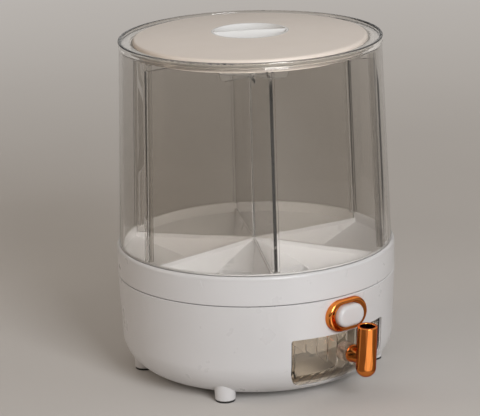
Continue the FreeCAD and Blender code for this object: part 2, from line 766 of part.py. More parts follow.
def wall_outer_r(z):
    """Outer radius of the clear wall between its flange and its rim."""
    return wall_bottom_r - wall_taper * (z - wall_flange_top_z)


def make_drum_wall():
    rim_bottom_z = rim_z - rim_h
    crest_r = wall_top_r + rim_proud
    rim_middle_r = crest_r - wall_t / 2
    top_inner_r = crest_r - wall_t
    under_r = wall_outer_r(ledge_underside_z) - wall_t
    bottom_inner_r = wall_outer_r(ring_ledge_z) - wall_t
    bottom_inner_r = max(bottom_inner_r, lip_outer_r + seat_fit)
    points = [
        V(crest_r, 0, rim_z - wall_t / 2), V(crest_r, 0, rim_bottom_z + 1), V(wall_top_r, 0, rim_bottom_z - 1),
        V(wall_bottom_r, 0, wall_flange_top_z), V(wall_flange_r, 0, wall_flange_top_z),
        V(wall_flange_r, 0, ring_ledge_z), V(bottom_inner_r, 0, ring_ledge_z),
        V(under_r, 0, ledge_underside_z), V(ledge_inner_r, 0, ledge_underside_z), V(ledge_inner_r, 0, ledge_z),
        V(mouth_r, 0, ledge_z), V(mouth_r, 0, mouth_shelf_z), V(top_inner_r, 0, mouth_shelf_z),
        V(top_inner_r, 0, rim_z - wall_t / 2),
    ]
    edges = [line(points[k], points[k + 1]) for k in range(len(points) - 1)]
    edges.append(arc(points[-1], V(rim_middle_r, 0, rim_z), points[0]))
    wall = revolve(edges)
    low_z = lip_top_z + plate_lip_gap
    high_z = ledge_underside_z - channel_top_gap
    low_r = wall_outer_r(low_z) - wall_t
    high_r = wall_outer_r(high_z) - wall_t
    near = plate_t / 2 + channel_fit
    ribs = []
    for side in (near, -near - channel_rib_t):
        rib = polygon([
            V(low_r - channel_depth, side, low_z), V(low_r + 1, side, low_z),
            V(high_r + 1, side, high_z), V(high_r - channel_depth, side, high_z),
        ]).extrude(V(0, channel_rib_t, 0))
        ribs += [turned(rib, angle) for angle in plate_angles]
    return fuse_all([wall] + ribs)


def make_plate(angle):
    """Clear plate between two compartments, notched round the lid's bowl."""
    inner = post_r + seat_fit
    outer_low = lip_inner_r - plate_lip_gap
    outer_high = wall_outer_r(plate_top_z) - wall_t - plate_outer_gap
    half = -plate_t / 2
    start = [
        V(inner, half, notch_bottom_z), V(inner, half, ridge_z(inner) - groove_depth),
        V(outer_low, half, ridge_z(outer_low) - groove_depth), V(outer_high, half, plate_top_z),
        V(notch_side_r, half, plate_top_z), V(notch_side_r, half, notch_side_z),
    ]
    edges = [line(start[k], start[k + 1]) for k in range(len(start) - 1)]
    notch_end = V(notch_bottom_r, half, notch_bottom_z)
    bend = V(notch_side_r - 1.6, half, (notch_side_z + notch_bottom_z) / 2 - 0.8)
    edges.append(arc(start[-1], bend, notch_end))
    edges.append(line(notch_end, start[0]))
    plate = Part.Face(Part.Wire(edges)).extrude(V(0, plate_t, 0))
    return turned(plate, angle)


def make_centre_post():
    bottom = hub_apex_z - post_socket_depth
    post = Part.makeCylinder(post_r, post_top_z - bottom, V(0, 0, bottom))
    return post.makeFillet(1.0, edges_at(post, lambda p: p.z > post_top_z - EPS))


def dome_z(radius, below):
    """Height of the lid's crown at a radius, or that far below it."""
    sphere_r = (lid_r ** 2 + lid_dome ** 2) / (2 * lid_dome)
    return lid_edge_z + lid_dome - sphere_r + math.sqrt(sphere_r ** 2 - radius ** 2) - below


def dome_arc(r0, r1, below):
    """Arc of the crown in the XZ plane between two radii."""
    mid = (r0 + r1) / 2
    return arc(V(r0, 0, dome_z(r0, below)), V(mid, 0, dome_z(mid, below)), V(r1, 0, dome_z(r1, below)))


def make_lid_panel():
    bottom_z = ledge_z + seal_t
    round_r = lid_r - lid_edge_round
    side_z = dome_z(round_r, 0) - lid_edge_round
    mid = math.radians(45)
    edge_mid = V(round_r + lid_edge_round * math.cos(mid), 0, side_z + lid_edge_round * math.sin(mid))
    skirt_inner = lid_skirt_outer_r - lid_skirt_t
    hole = grip_r
    points_out = [V(lid_r, 0, side_z), V(lid_r, 0, bottom_z), V(lid_skirt_outer_r, 0, bottom_z),
                  V(lid_skirt_outer_r, 0, lid_skirt_bottom_z), V(skirt_inner, 0, lid_skirt_bottom_z),
                  V(skirt_inner, 0, dome_z(skirt_inner, lid_t))]
    edges = [dome_arc(hole, round_r, 0)]
    edges.append(arc(V(round_r, 0, dome_z(round_r, 0)), edge_mid, V(lid_r, 0, side_z)))
    edges += [line(points_out[k], points_out[k + 1]) for k in range(len(points_out) - 1)]
    edges.append(dome_arc(skirt_inner, hole, lid_t))
    edges.append(line(V(hole, 0, dome_z(hole, lid_t)), V(hole, 0, dome_z(hole, 0))))
    return revolve(edges)


def make_grip_bowl():
    """Finger bowl with its flange under the lid and the thin grip rib across it."""
    top_z = dome_z(grip_r, 0)
    under_z = dome_z(grip_r + grip_flange_w, lid_t)
    seat_z = dome_z(grip_r, lid_t)
    outer_r = grip_r - grip_fit
    inner_r = outer_r - grip_wall
    floor_z = grip_bottom_z
    wall_z = floor_z + inner_r * 0.92
    share = math.cos(math.radians(45))
    outer_mid = V(outer_r * share, 0, wall_z - (wall_z - floor_z + grip_wall) * share)
    inner_mid = V(inner_r * share, 0, wall_z - (wall_z - floor_z) * share)
    flange_r = grip_r + grip_flange_w
    flange_low = under_z - grip_flange_t
    edges = [
        line(V(inner_r, 0, top_z), V(outer_r, 0, top_z)),
        line(V(outer_r, 0, top_z), V(outer_r, 0, seat_z)),
        line(V(outer_r, 0, seat_z), V(flange_r, 0, under_z)),
        line(V(flange_r, 0, under_z), V(flange_r, 0, flange_low)),
        line(V(flange_r, 0, flange_low), V(outer_r, 0, flange_low)),
        line(V(outer_r, 0, flange_low), V(outer_r, 0, wall_z)),
        arc(V(outer_r, 0, wall_z), outer_mid, V(0, 0, floor_z - grip_wall)),
        line(V(0, 0, floor_z - grip_wall), V(0, 0, floor_z)),
        arc(V(0, 0, floor_z), inner_mid, V(inner_r, 0, wall_z)),
        line(V(inner_r, 0, wall_z), V(inner_r, 0, top_z)),
    ]
    bowl = revolve(edges)
    rib_edges = [
        dome_arc(-inner_r - 0.5, inner_r + 0.5, 0),
        line(V(inner_r + 0.5, 0, dome_z(inner_r + 0.5, 0)), V(inner_r + 0.5, 0, top_z - fin_depth)),
        line(V(inner_r + 0.5, 0, top_z - fin_depth), V(-inner_r - 0.5, 0, top_z - fin_depth)),
        line(V(-inner_r - 0.5, 0, top_z - fin_depth), V(-inner_r - 0.5, 0, dome_z(inner_r + 0.5, 0))),
    ]
    rib = Part.Face(Part.Wire(rib_edges)).extrude(V(0, fin_t, 0))
    rib.translate(V(0, -fin_t / 2, 0))
    inside = revolve([(0, floor_z - 5), (outer_r - grip_wall / 2, floor_z - 5),
                      (outer_r - grip_wall / 2, FAR * 1.2), (0, FAR * 1.2)])
    rib = turned(rib.common(inside), fin_angle)
    return bowl.fuse(rib).removeSplitter()


def make_lid_seal():
    ring = tube(seal_outer_r, lid_skirt_outer_r + seat_fit, ledge_z, ledge_z + seal_t)
    return ring.makeFillet(seal_round, edges_at(ring, lambda p: math.hypot(p.x, p.y) > seal_outer_r - EPS))


def drawer_outline(gap, inset, y1):
    """Bar with the drawer's outline, with its front face following the base."""
    bar = window_prism(gap, -base_r - 5, y1)
    return bar.common(base_solid(inset))


def wall_radius(z, inset):
    """Radius of the base's outline at height z, moved inwards by inset."""
    if z >= base_turn_z:
        return side_radius(z) - inset
    down = (base_turn_z - z) / (base_turn_z - base_bottom_z - inset)
    return base_foot_r + (base_side_r - base_foot_r - inset) * math.sqrt(1 - down * down)


def flute_side(x, depth):
    """Outline of a flute in the plane at x, from inside the wall to depth in front of it."""
    low = window_bottom_z + drawer_gap + flute_sunk
    high = window_top_z - drawer_gap
    face = drawer_recess + drawer_wall
    curves = []
    for inset in (face - flute_sunk, face + depth):
        points = []
        for k in range(flute_points):
            z = low + (high - low) * k / (flute_points - 1)
            points.append(V(x, -math.sqrt(wall_radius(z, inset) ** 2 - x * x), z))
        curve = Part.BSplineCurve()
        curve.interpolate(points)
        curves.append((curve.toShape(), points[0], points[-1]))
    (back, back_low, back_high), (front, front_low, front_high) = curves
    return Part.Wire([back, line(back_high, front_high), front, line(front_low, back_low)])


def drawer_flutes():
    """Saw-toothed ribs inside the drawer's front, over its whole height."""
    flutes = []
    for k in range(-flutes_per_side, flutes_per_side + 1):
        thick = flute_side((k - 0.5) * flute_pitch, flute_depth)
        thin = flute_side((k + 0.5) * flute_pitch, -flute_sunk / 2)
        flutes.append(Part.makeLoft([thick, thin], True, True))
    return Part.makeCompound(flutes)


def flute_pocket():
    """Bar along Y that takes the flutes away between two saw-toothed lines, left of the handle."""
    upper = []
    lower = []
    for k in range(1, flutes_per_side + 1):
        far = (k + 0.5) * flute_pitch
        near = max(far - flute_pitch, pocket_tip_x)
        tooth = pocket_top_tooth * (far - near) / flute_pitch
        start_z = pocket_tip_z - pocket_low_step * (k - 1)
        upper += [V(-near, -FAR, pocket_tip_z + pocket_top_rise * (near - pocket_tip_x) - tooth * (k > 1) / 2),
                  V(-far, -FAR, pocket_tip_z + pocket_top_rise * (far - pocket_tip_x) + tooth / 2)]
        lower += [V(-near, -FAR, start_z), V(-far, -FAR, start_z - pocket_low_drop)]
    outline = upper + [V(-base_r, -FAR, upper[-1].z), V(-base_r, -FAR, lower[-1].z)] + lower[:0:-1]
    return polygon(outline).extrude(V(0, FAR, 0)).common(window_prism(pocket_margin, -FAR, 0))


def make_drawer_tray():
    outer = drawer_outline(drawer_gap, drawer_recess, drawer_back_y)
    inner_gap = drawer_gap + drawer_wall
    cavity = drawer_outline(inner_gap, drawer_recess + drawer_wall, drawer_back_y - drawer_wall)
    above = window_top_z - inner_gap - 5
    half = window_half_w - inner_gap
    top_room = box(-half, half, -FAR, drawer_back_y - drawer_wall, above, window_top_z + 5)
    cavity = cavity.fuse(top_room.common(base_solid(drawer_recess + drawer_wall)))
    tray = outer.cut(cavity)
    limit = drawer_outline(drawer_gap + 0.5, drawer_recess + 0.5, drawer_back_y)
    ribs = drawer_flutes().common(limit).cut(flute_pocket()).cut(flute_pocket().mirror(V(0, 0, 0), V(1, 0, 0)))
    tray = fuse_all([tray] + ribs.Solids)
    screw_start = V(0, -base_r, handle_z)
    tray = tray.cut(cylinder(handle_screw_r + screw_hole_fit, screw_start, V(0, drawer_back_y - 20, handle_z)))
    seat = cylinder(handle_screw_head_r + 0.6, V(0, handle_seat_y, handle_z), V(0, drawer_back_y - 20, handle_z))
    return tray.cut(seat)


def make_handle_boss():
    end_y = handle_boss_end_y
    boss = cylinder(handle_boss_r, V(0, end_y, handle_z), V(0, handle_seat_y, handle_z))
    boss = boss.makeFillet(handle_boss_round, edges_at(boss, lambda p: p.y < end_y + EPS))
    boss = boss.cut(base_solid(drawer_recess))
    return boss.cut(cylinder(handle_screw_r + screw_hole_fit, V(0, end_y - 1, handle_z), V(0, 0, handle_z)))


def place_barrel(shape):
    """Lean a shape modelled on Z at the barrel's lower end, and move it to its place."""
    shape.rotate(V(0, 0, 0), V(1, 0, 0), barrel_lean)
    shape.translate(V(0, barrel_bottom_y, barrel_bottom_z))
    return shape


def make_handle_barrel():
    ball = Part.makeSphere(barrel_r, V(0, 0, barrel_r))
    body = Part.makeCylinder(barrel_r, barrel_length - barrel_r, V(0, 0, barrel_r))
    body = body.fuse(ball).removeSplitter()
    body = body.cut(Part.makeCylinder(barrel_bore_r, barrel_bore_depth + 1, V(0, 0, barrel_length - barrel_bore_depth)))
    body = body.makeFillet(barrel_rim_round, edges_at(body, lambda p: p.z > barrel_length - EPS))
    return place_barrel(body)


def make_handle_neck():
    start_y = handle_boss_end_y
    neck = cylinder(neck_r, V(0, start_y, handle_z), V(0, barrel_bottom_y, handle_z))
    collar = cylinder(neck_collar_r, V(0, start_y - neck_collar_t, handle_z), V(0, start_y, handle_z))
    collar = collar.makeFillet(neck_collar_round, edges_at(collar, lambda p: True))
    neck = neck.fuse(collar).removeSplitter()
    neck = neck.cut(place_barrel(Part.makeCylinder(barrel_r, 2 * barrel_length, V(0, 0, -barrel_length / 2))))
    hole_end = V(0, start_y - handle_screw_hole, handle_z)
    return neck.cut(cylinder(handle_screw_r, hole_end, V(0, start_y, handle_z)))


def make_handle_screw():
    length = drawer_wall + handle_boss_t + handle_screw_bite
    return screw(handle_screw_r, length, handle_screw_head_r, handle_screw_head_h,
                 V(0, handle_seat_y, handle_z), V(0, -1, 0))


def make_drawer_housing():
    """Tray with side walls and a back that the drawer slides in, on four pads."""
    gap_in = drawer_gap - runner_gap
    back = drawer_back_y + runner_gap + housing_wall
    inside = window_prism(gap_in, -base_r, back - housing_wall)
    body = window_prism(gap_in - housing_wall, -base_r, back).cut(inside)
    body = body.cut(box(-FAR, FAR, -FAR, FAR, housing_side_top_z, FAR))
    pads = [Part.makeCylinder(housing_boss_r, housing_floor_z() - housing_pad_z(), V(p.x, p.y, housing_pad_z()))
            for p in housing_screw_places()]
    body = fuse_all([body] + pads).common(base_solid(base_wall + seat_fit))
    for place in housing_screw_places():
        foot = V(place.x, place.y, housing_pad_z())
        body = body.cut(Part.makeCylinder(screw_r + screw_hole_fit, housing_wall + housing_pad_t, foot))
        body = body.cut(Part.makeCylinder(screw_head_r + screw_sink_fit, screw_head_h + 1, place))
    return body


def make_housing_screws():
    return Part.makeCompound([
        screw(screw_r, housing_screw_l, screw_head_r, screw_head_h, place, V(0, 0, -1)) for place in housing_screw_places()
    ])


def make_button_bezel():
    plate = obround(bezel_half_w, bezel_half_h, bezel_face_y, -base_side_r + 12)
    plate = plate.makeFillet(bezel_round_out, edges_at(plate, lambda p: p.y < bezel_face_y + EPS))
    plate = plate.cut(base_solid(0))
    neck = obround(button_half_w + button_gap + bezel_neck_wall, button_half_h + button_gap + bezel_neck_wall,
                   bezel_face_y + bezel_round_out + 0.5, bezel_neck_end_y)
    body = plate.fuse(neck).removeSplitter()
    body = body.cut(obround(button_half_w + button_gap, button_half_h + button_gap, bezel_face_y - 1,
                            bezel_neck_end_y + 1))
    inner = [e for e in edges_at(body, lambda p: p.y < bezel_face_y + EPS)
             if all(abs(v.X) < button_half_w + 1.5 and abs(v.Z - button_z) < button_half_h + 1.5 for v in e.Vertexes)]
    return body.makeFillet(bezel_round_in, inner)


def make_button_cap():
    cap = obround(button_half_w, button_half_h, button_face_y, bezel_neck_end_y)
    cap = cap.makeFillet(button_round, edges_at(cap, lambda p: p.y < button_face_y + EPS))
    flange = obround(button_half_w + button_flange_w, button_half_h + button_flange_h, bezel_neck_end_y,
                     bezel_neck_end_y + button_flange_t)
    stem_end = gate_front_y
    stem = cylinder(button_stem_r, V(0, bezel_neck_end_y, button_z), V(0, stem_end, button_z))
    cap = fuse_all([cap, flange, stem])
    hole_start = V(0, stem_end - gate_screw_l + gate_tab_t - 2, button_z)
    return cap.cut(cylinder(screw_r, hole_start, V(0, stem_end, button_z)))


def make_gate_plate():
    hole_front = -slot_outer_r - gate_overlap - (button_travel - gate_overlap)
    hole_back = -slot_outer_r - gate_overlap
    plate = box(-gate_half_w, gate_half_w, gate_front_y, gate_back_y, gate_top_z - gate_t, gate_top_z)
    narrow = box(gate_tab_half_w, FAR, gate_front_y - 1, chute_front_y - 1, 0, FAR)
    plate = plate.cut(narrow).cut(narrow.mirror(V(0, 0, 0), V(1, 0, 0)))
    tab = box(-gate_tab_half_w, gate_tab_half_w, gate_front_y, gate_front_y + gate_tab_t,
              gate_top_z - gate_t - gate_tab_drop, gate_top_z)
    hole = box(-slot_half_l, slot_half_l, hole_front, hole_back, 0, FAR)
    body = plate.fuse(tab).removeSplitter().cut(hole)
    return body.cut(cylinder(screw_r + screw_hole_fit, V(0, gate_front_y - 1, button_z),
                             V(0, gate_front_y + gate_tab_t + 1, button_z)))


def make_gate_screw():
    return screw(screw_r, gate_screw_l, gate_screw_head_r, screw_head_h, V(0, gate_front_y + gate_tab_t, button_z), V(0, -1, 0))


def chute_screw_places():
    """Under the heads of the screws that hold the duct's plate to the deck."""
    x = gate_half_w + gate_play + chute_rail_w / 2
    seat_z = deck_top_z - screw_sunk - screw_head_h
    return [V(side * x, y, seat_z) for y in (gate_back_y - chute_screw_back, chute_front_y + chute_screw_front) for side in (-1, 1)]


def make_drop_chute():
    """Duct under the outlet hole, with the plate and rails that the gate slides in."""
    half_w = gate_half_w + gate_play + chute_rail_w
    plate = box(-half_w, half_w, chute_front_y, gate_back_y, chute_plate_top_z - chute_plate_t, chute_plate_top_z)
    solids = [plate]
    for side in (-1, 1):
        inner = side * (gate_half_w + gate_play)
        outer = side * half_w
        solids.append(box(min(inner, outer), max(inner, outer), chute_front_y, gate_back_y,
                          chute_plate_top_z - 1, deck_under_z))
    in_x = slot_half_l + chute_margin
    y0 = -slot_outer_r - chute_margin
    y1 = -slot_inner_r + chute_margin
    solids.append(box(-in_x - chute_wall, in_x + chute_wall, y0 - chute_wall, y1 + chute_wall,
                      chute_bottom_z, chute_plate_top_z))
    solids.append(box(-spring_seat_half_w, spring_seat_half_w, spring_seat_y, spring_seat_y + spring_seat_t,
                      chute_plate_top_z - spring_seat_drop, chute_plate_top_z))
    body = fuse_all(solids)
    body = body.cut(box(-in_x, in_x, y0, y1, chute_bottom_z - 1, deck_top_z))
    for place in chute_screw_places():
        body = body.cut(Part.makeCylinder(screw_r, chute_screw_l, V(place.x, place.y, deck_under_z - chute_screw_l)))
    return body


def make_chute_screws():
    return Part.makeCompound([
        screw(screw_r, chute_screw_l, screw_head_r, screw_head_h, place, V(0, 0, -1))
        for place in chute_screw_places()
    ])


def biarc(p0, t0, p1, t1):
    """Two arcs that leave p0 along t0 and arrive at p1 along t1."""
    v = p1 - p0
    t = t0 + t1
    a = 2 * (1 - t0.dot(t1))
    b = 2 * v.dot(t)
    c = -v.dot(v)
    if abs(a) < 1e-9:
        d = -c / b
    else:
        d = (-b + math.sqrt(b * b - 4 * a * c)) / (2 * a)
    joint = (p0 + t0 * d + p1 - t1 * d) * 0.5
    arcs = []
    for start, tangent, end in ((p0, t0, joint), (joint, None, p1)):
        if tangent is None:
            ahead = (p1 - t1 * d - joint)
            tangent = ahead.normalize()
        chord = end - start
        side = chord - tangent * chord.dot(tangent)
        angle = 2 * math.atan2(side.Length, chord.dot(tangent))
        radius = chord.Length / (2 * math.sin(angle / 2))
        side.normalize()
        half = angle / 2
        middle = start + tangent * (radius * math.sin(half)) + side * (radius * (1 - math.cos(half)))
        arcs.append(Part.Arc(start, middle, end).toShape())
    return arcs


def make_return_spring():
    """Compression spring between the gate's tab and its seat, a wire along a helix of tangent arcs."""
    start_y = gate_front_y + gate_tab_t + spring_wire_r + spring_end_gap
    length = spring_seat_y - spring_wire_r - spring_end_gap - start_y
    quarters = 4 * spring_turns
    pitch = length / spring_turns
    circumference = 2 * math.pi * spring_mean_r
    norm = math.hypot(circumference, pitch)

    def point(q):
        a = math.pi / 2 * q
        return V(spring_mean_r * math.cos(a), start_y + length * q / quarters, button_z + spring_mean_r * math.sin(a))

    def tangent(q):
        a = math.pi / 2 * q
        return V(-math.sin(a) * circumference / norm, pitch / norm, math.cos(a) * circumference / norm)

    edges = []
    for q in range(quarters):
        edges += biarc(point(q), tangent(q), point(q + 1), tangent(q + 1))
    path = Part.Wire(edges)
    section = Part.Wire(Part.makeCircle(spring_wire_r, point(0), tangent(0)))
    wire = path.makePipeShell([section], True, False)
    print("spring: gap between turns", round(pitch - 2 * spring_wire_r, 2), "mm")
    print("spring: volume over section times length",
          round(wire.Volume / (math.pi * spring_wire_r ** 2 * path.Length), 4))
    return wire


def origin_shift():
    """How far the model moves along Y, so that the origin is under the middle of its box."""
    lean = math.radians(barrel_lean)
    rim_y = barrel_bottom_y - (barrel_length - barrel_rim_round) * math.sin(lean)
    front_y = rim_y - (barrel_r - barrel_rim_round) * math.cos(lean) - barrel_rim_round
    back_y = max(ring_r, base_r)
    return -(front_y + back_y) / 2


def all_pieces():
    pieces = {
        "base_shell": make_base_shell(),
        "base_deck": make_base_deck(),
        "deck_screws": make_deck_screws(),
        "glide_ring": make_glide_ring(),
        "spindle": make_spindle(),
        "spindle_washer": make_spindle_washer(),
        "spindle_nut": make_spindle_nut(),
        "drop_chute": make_drop_chute(),
        "chute_screws": make_chute_screws(),
        "drawer_housing": make_drawer_housing(),
        "housing_screws": make_housing_screws(),
        "button_bezel": make_button_bezel(),
        "foot_screws": make_foot_screws(),
        "hopper": make_hopper(),
        "hub_bush": make_hub_bush(),
        "drum_wall": make_drum_wall(),
        "centre_post": make_centre_post(),
        "lid_panel": make_lid_panel(),
        "grip_bowl": make_grip_bowl(),
        "lid_seal": make_lid_seal(),
        "drawer_tray": make_drawer_tray(),
        "handle_boss": make_handle_boss(),
        "handle_neck": make_handle_neck(),
        "handle_barrel": make_handle_barrel(),
        "handle_screw": make_handle_screw(),
        "button_cap": make_button_cap(),
        "gate_plate": make_gate_plate(),
        "gate_screw": make_gate_screw(),
        "return_spring": make_return_spring(),
    }
    for name in foot_angles:
        pieces["foot_" + name] = make_foot(name)
        pieces["foot_pad_" + name] = make_foot_pad(name)
    for k, angle in enumerate(plate_angles):
        pieces["divider_%d" % (k + 1)] = make_plate(angle)
    return pieces


def main():
    os.makedirs("parts", exist_ok=True)
    shift = V(0, origin_shift(), 0)
    print("drum axis at y =", round(shift.y, 3))
    for name, shape in all_pieces().items():
        shape.translate(shift)
        print(name, "valid" if shape.isValid() else "NOT VALID", len(shape.Solids), "solids",
              round(shape.Volume / 1000, 2), "cm3")
        shape.exportStep("parts/" + name + ".step")


main()
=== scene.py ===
# %% [markdown]
# # Rotating grain dispenser
# A clear drum with six compartments turns on a white base. A push button in a copper-coloured
# surround opens the gate under one compartment, and the grain falls into a clear drawer.
# The construction comes in as ready solids at their real size. This lesson gives them their
# finishes, and then lights and frames the whole.

import json
import math

import bpy
from mathutils import Matrix, Vector


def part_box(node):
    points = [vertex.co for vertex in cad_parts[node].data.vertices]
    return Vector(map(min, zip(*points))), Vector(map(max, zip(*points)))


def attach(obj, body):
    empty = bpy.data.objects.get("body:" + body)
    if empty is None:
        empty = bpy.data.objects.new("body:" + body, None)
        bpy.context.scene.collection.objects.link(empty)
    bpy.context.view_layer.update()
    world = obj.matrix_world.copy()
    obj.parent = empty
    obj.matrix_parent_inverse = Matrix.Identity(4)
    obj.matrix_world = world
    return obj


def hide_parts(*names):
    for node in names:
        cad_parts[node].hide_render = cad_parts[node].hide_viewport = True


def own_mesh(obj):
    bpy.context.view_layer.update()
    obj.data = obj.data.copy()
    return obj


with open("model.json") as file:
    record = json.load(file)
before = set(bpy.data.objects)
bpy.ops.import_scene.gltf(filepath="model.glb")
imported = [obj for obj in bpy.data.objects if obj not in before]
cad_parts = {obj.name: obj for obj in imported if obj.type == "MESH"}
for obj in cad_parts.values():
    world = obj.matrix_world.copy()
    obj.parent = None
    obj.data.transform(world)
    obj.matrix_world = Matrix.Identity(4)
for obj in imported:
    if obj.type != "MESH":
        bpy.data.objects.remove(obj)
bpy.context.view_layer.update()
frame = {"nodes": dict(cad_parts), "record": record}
nodes = frame["nodes"]
MM = 0.001
print("nodes:", len(nodes))

# %% [markdown]
# Drum, lid, ring and base are all round about the drum's axis. The clear wall is a full ring,
# so the middle of its box gives the axis, and nothing has to be typed in again.

# %% Find the drum's axis
wall_low, wall_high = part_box("drum_wall")
axis = Vector(((wall_low.x + wall_high.x) / 2, (wall_low.y + wall_high.y) / 2, 0))
print("drum axis:", [round(v, 5) for v in axis])

# %% [markdown]
# ## Colours
# Colours are picked as the hex values that a picture editor shows. Cycles works with
# light that adds up evenly, so each value is turned from the display's curve to linear first.

# %% Hex colour to linear light


def linear(hex_code):
    """RGBA in linear light from an sRGB hex value such as "#C86A32"."""
    channels = [int(hex_code[k:k + 2], 16) / 255 for k in (1, 3, 5)]
    return [c / 12.92 if c <= 0.04045 else ((c + 0.055) / 1.055) ** 2.4 for c in channels] + [1.0]


print("mid grey in linear light:", round(linear("#808080")[0], 3))

# %% [markdown]
# ## Nodes
# A finish is a small tree of shader nodes. Each could be dragged in by hand in the shader
# editor. Here one function adds any node, sets what it is told to set and joins its inputs,
# so a whole finish reads from top to bottom like a recipe.

# %% Add one node


def add_node(tree, kind, settings=None, links=None):
    """Add a node. settings are its properties or input values, links are sockets that feed its inputs."""
    node = tree.nodes.new("ShaderNode" + kind)
    for name, value in (settings or {}).items():
        if isinstance(name, str) and hasattr(node, name):
            setattr(node, name, value)
        else:
            node.inputs[name].default_value = value
    for name, socket in (links or {}).items():
        tree.links.new(socket, node.inputs[name])
    return node


def new_material(name):
    """A material with nothing in it but its output and the object's own coordinates."""
    material = bpy.data.materials.new(name)
    material.use_nodes = True
    tree = material.node_tree
    tree.nodes.clear()
    output = add_node(tree, "OutputMaterial")
    place = add_node(tree, "TexCoord").outputs["Object"]
    return material, tree, output, place


print("helpers ready")

# %% [markdown]
# ## White ABS
# The base, the turning ring and the feet are injection-moulded ABS. The tool is polished and
# then lightly blasted, so the skin is a soft gloss: highlights are broad with no sharp
# reflections. Two faint patterns shape the skin, so that it doesn't look like a flat fill: the
# slow unevenness that shrinkage leaves in a moulded wall, and the fine blasted grain. Two more
# let colour and gloss drift. A noise mostly lies between 0.3 and 0.7, so its ends are set wider
# than what shows.

# %% White moulded plastic


def abs_plastic(name, light, shade, gloss_low, gloss_high):
    """Moulded ABS between two near whites, with a roughness that drifts between two values."""
    material, tree, output, place = new_material(name)
    drift = add_node(tree, "TexNoise", {"Scale": 1 / (90 * MM), "Detail": 3.0}, {"Vector": place})
    cloud = add_node(tree, "TexNoise", {"Scale": 1 / (22 * MM), "Detail": 4.0}, {"Vector": place})
    sink = add_node(tree, "TexNoise", {"Scale": 1 / (35 * MM), "Detail": 1.0}, {"Vector": place})
    # Real grain is nearer 0.1 mm, too fine to show, so it is drawn at 0.9 mm.
    grain = add_node(tree, "TexNoise", {"Scale": 1 / (0.9 * MM)}, {"Vector": place})
    colour = add_node(tree, "Mix", {"data_type": "RGBA", 6: linear(light), 7: linear(shade)},
                      {0: drift.outputs["Fac"]})
    gloss = add_node(tree, "MapRange", {"To Min": gloss_low, "To Max": gloss_high},
                     {"Value": cloud.outputs["Fac"]})
    height = add_node(tree, "Math", {"operation": "MULTIPLY_ADD", 1: 0.02},
                      {0: grain.outputs["Fac"], 2: sink.outputs["Fac"]})
    skin = add_node(tree, "Bump", {"Distance": 0.05 * MM}, {"Height": height.outputs[0]})
    shader = add_node(tree, "BsdfPrincipled", {"IOR": 1.53}, {
        "Base Color": colour.outputs[2], "Roughness": gloss.outputs[0], "Normal": skin.outputs[0],
    })
    tree.links.new(shader.outputs[0], output.inputs["Surface"])
    print(name, "from", light, "to", shade)
    return material


white_abs = abs_plastic("white_abs", "#DAD9D9", "#CECDCD", 0.22, 0.38)
# The inside parts are natural ABS, set whiter than the base: partly their own colour, partly painted light
# for the dim inside, which little lamp light reaches.
inner_abs = abs_plastic("natural_abs_painted_lighter", "#EFEDE9", "#E3E1DC", 0.35, 0.55)

# %% [markdown]
# ## The lid's two whites
# The lid's panel has a slightly duller skin than the base, and is set a warmer and lighter white.
# The finger bowl is its own polished moulding, and shows as the whitest thing on the object.
# Both are the same plastic as the base, so the same recipe serves with other values.

# %% Lid and finger bowl
lid_abs = abs_plastic("blasted_warm_white_abs", "#EEE3D8", "#E2D7CC", 0.24, 0.40)
bowl_abs = abs_plastic("polished_white_abs", "#F3F3F2", "#EDEDEB", 0.20, 0.30)

# %% [markdown]
# ## Clear plastic
# Drum, plates and drawer are clear styrene-acrylonitrile, which kitchen makers choose because
# it is stiff and polishes like glass. It bends light nearly as much as window glass, and the
# batch has a little smoke-grey in it. Lamps have to reach the white floor behind the walls, so
# for shadow rays alone the shader is a plain tinted pane, and the eye still gets refraction.
# Such a ray takes the pane's whole colour at both faces of a wall, so that colour is lighter
# than the tint.

# %% Clear moulded plastic


def clear_plastic(name, tint, pane_tint, haze_high):
    """Clear plastic with a tint, a haze where it was handled, and a pane for the lamps' light."""
    material, tree, output, place = new_material(name)
    wear = add_node(tree, "TexNoise", {"Scale": 1 / (30 * MM), "Detail": 5.0}, {"Vector": place})
    haze = add_node(tree, "MapRange", {"From Min": 0.3, "To Max": haze_high}, {"Value": wear.outputs["Fac"]})
    flow = add_node(tree, "TexNoise", {"Scale": 1 / (45 * MM), "Detail": 1.0}, {"Vector": place})
    skin = add_node(tree, "Bump", {"Distance": 0.05 * MM}, {"Height": flow.outputs["Fac"]})
    shader = add_node(tree, "BsdfPrincipled", {
        "Base Color": linear(tint), "Transmission Weight": 1.0, "IOR": 1.5,
    }, {"Roughness": haze.outputs[0], "Normal": skin.outputs[0]})
    pane = add_node(tree, "BsdfTransparent", {"Color": linear(pane_tint)})
    ray = add_node(tree, "LightPath").outputs["Is Shadow Ray"]
    both = add_node(tree, "MixShader", None, {0: ray, 1: shader.outputs[0], 2: pane.outputs[0]})
    tree.links.new(both.outputs[0], output.inputs["Surface"])
    print(name, "tint", tint)
    return material


drum_clear = clear_plastic("smoked_clear_styrene", "#EBE9E6", "#F1F0EE", 0.03)

# %% [markdown]
# The plates between the compartments are 3 mm thick. Where they stand on the funnels, thin
# brown lines show along their feet, from the shade in the joint and from light trapped in the
# plate's edge. A dark brown on the faces that look up or down is painted shade that draws those
# lines. The faces are told apart by how far their normal leans from level, and by limits that are 1 inside
# and 0 outside.

# %% Divider plates
# The second colour is painted shade for the plates' ends.
PLATE_TINT, PLATE_END_SHADE = "#EDEBE8", "#6E5D4C"


